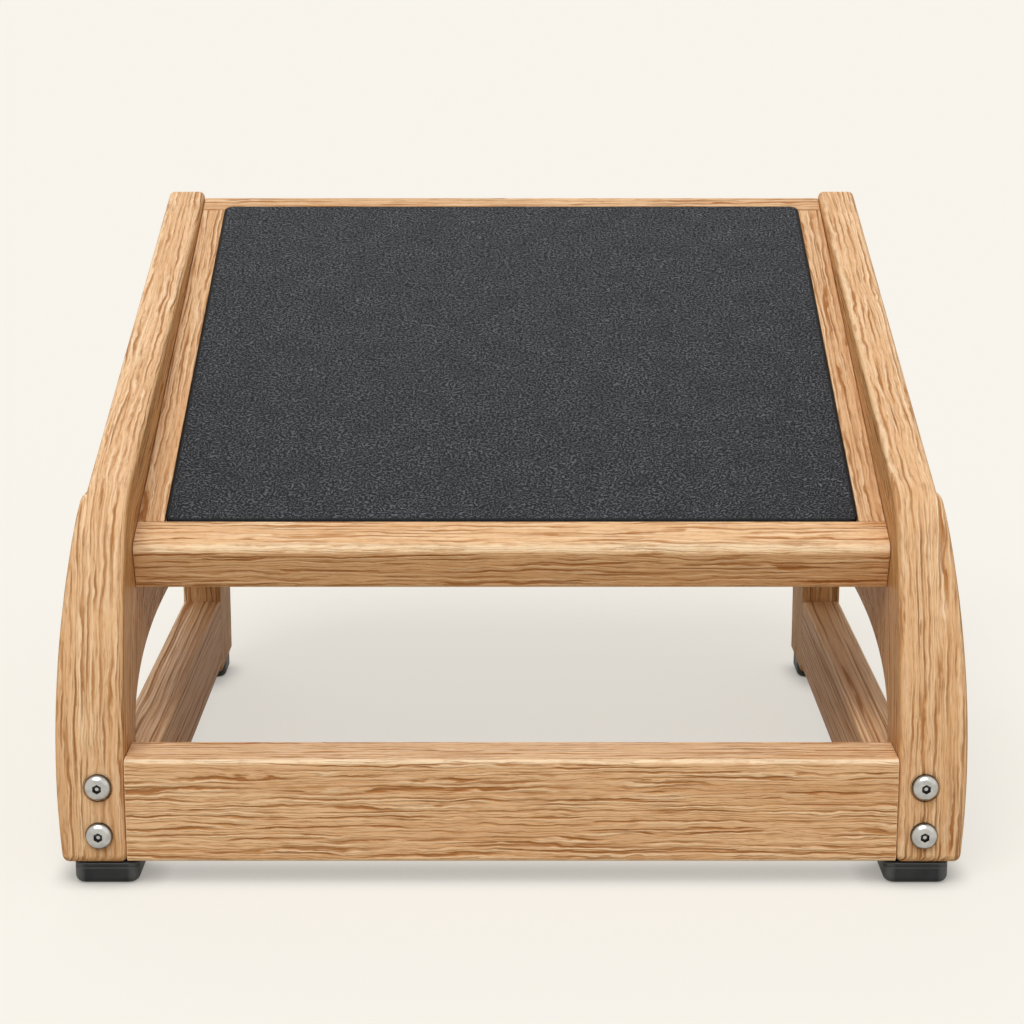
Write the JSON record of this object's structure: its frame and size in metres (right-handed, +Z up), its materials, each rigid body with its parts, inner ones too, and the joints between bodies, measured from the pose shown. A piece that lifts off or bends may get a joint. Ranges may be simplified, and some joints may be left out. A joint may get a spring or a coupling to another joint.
{
  "type": "footrest",
  "caption": "Free-standing oak footrest with a sloping rubber-topped platform between two side frames that curve from front leg to arm, on rubber feet.",
  "frame": {"origin": "on the floor, under the middle of the whole footrest's box", "axes": "+X across the width, +Y from the low front edge to the high back, +Z up"},
  "size_m": [0.461, 0.4213, 0.3115],
  "materials": {
    "oak_side": "satin",
    "oak_rail": "satin",
    "oak_platform": "satin",
    "birch_core": "matte",
    "beech": "matte",
    "mat_rubber": "textured matte",
    "foot_rubber": "matte",
    "stainless": "polished",
    "zinc": "plated"
  },
  "bodies": {
    "root": {"cleat_left": "oak_rail", "cleat_right": "oak_rail", "cleat_screw_left_1": "zinc", "cleat_screw_left_2": "zinc", "cleat_screw_left_3": "zinc", "cleat_screw_right_1": "zinc", "cleat_screw_right_2": "zinc", "cleat_screw_right_3": "zinc", "corner_dowel_back_left": "beech", "corner_dowel_back_right": "beech", "corner_dowel_front_left": "beech", "corner_dowel_front_right": "beech", "foot_front_left": "foot_rubber", "foot_front_right": "foot_rubber", "foot_rear_left": "foot_rubber", "foot_rear_right": "foot_rubber", "foot_screw_front_left": "zinc", "foot_screw_front_right": "zinc", "foot_screw_rear_left": "zinc", "foot_screw_rear_right": "zinc", "front_stretcher": "oak_rail", "lap_screw_left_1": "zinc", "lap_screw_left_2": "zinc", "lap_screw_right_1": "zinc", "lap_screw_right_2": "zinc", "platform_back_rail": "oak_platform", "platform_core": "birch_core", "platform_front_rail": "oak_platform", "platform_screw_left_1": "zinc", "platform_screw_left_2": "zinc", "platform_screw_right_1": "zinc", "platform_screw_right_2": "zinc", "platform_stile_left": "oak_platform", "platform_stile_right": "oak_platform", "rail_dowel_front_left_1": "beech", "rail_dowel_front_left_2": "beech", "rail_dowel_front_right_1": "beech", "rail_dowel_front_right_2": "beech", "rail_dowel_rear_left_1": "beech", "rail_dowel_rear_left_2": "beech", "rail_dowel_rear_right_1": "beech", "rail_dowel_rear_right_2": "beech", "rear_leg_left": "oak_rail", "rear_leg_right": "oak_rail", "rubber_mat": "mat_rubber", "side_frame_left": "oak_side", "side_frame_right": "oak_side", "side_rail_left": "oak_rail", "side_rail_right": "oak_rail", "sleeve_nut_left_1": "zinc", "sleeve_nut_left_2": "zinc", "sleeve_nut_right_1": "zinc", "sleeve_nut_right_2": "zinc", "stretcher_bolt_left_1": "stainless", "stretcher_bolt_left_2": "stainless", "stretcher_bolt_right_1": "stainless", "stretcher_bolt_right_2": "stainless"}
  },
  "joints": []
}
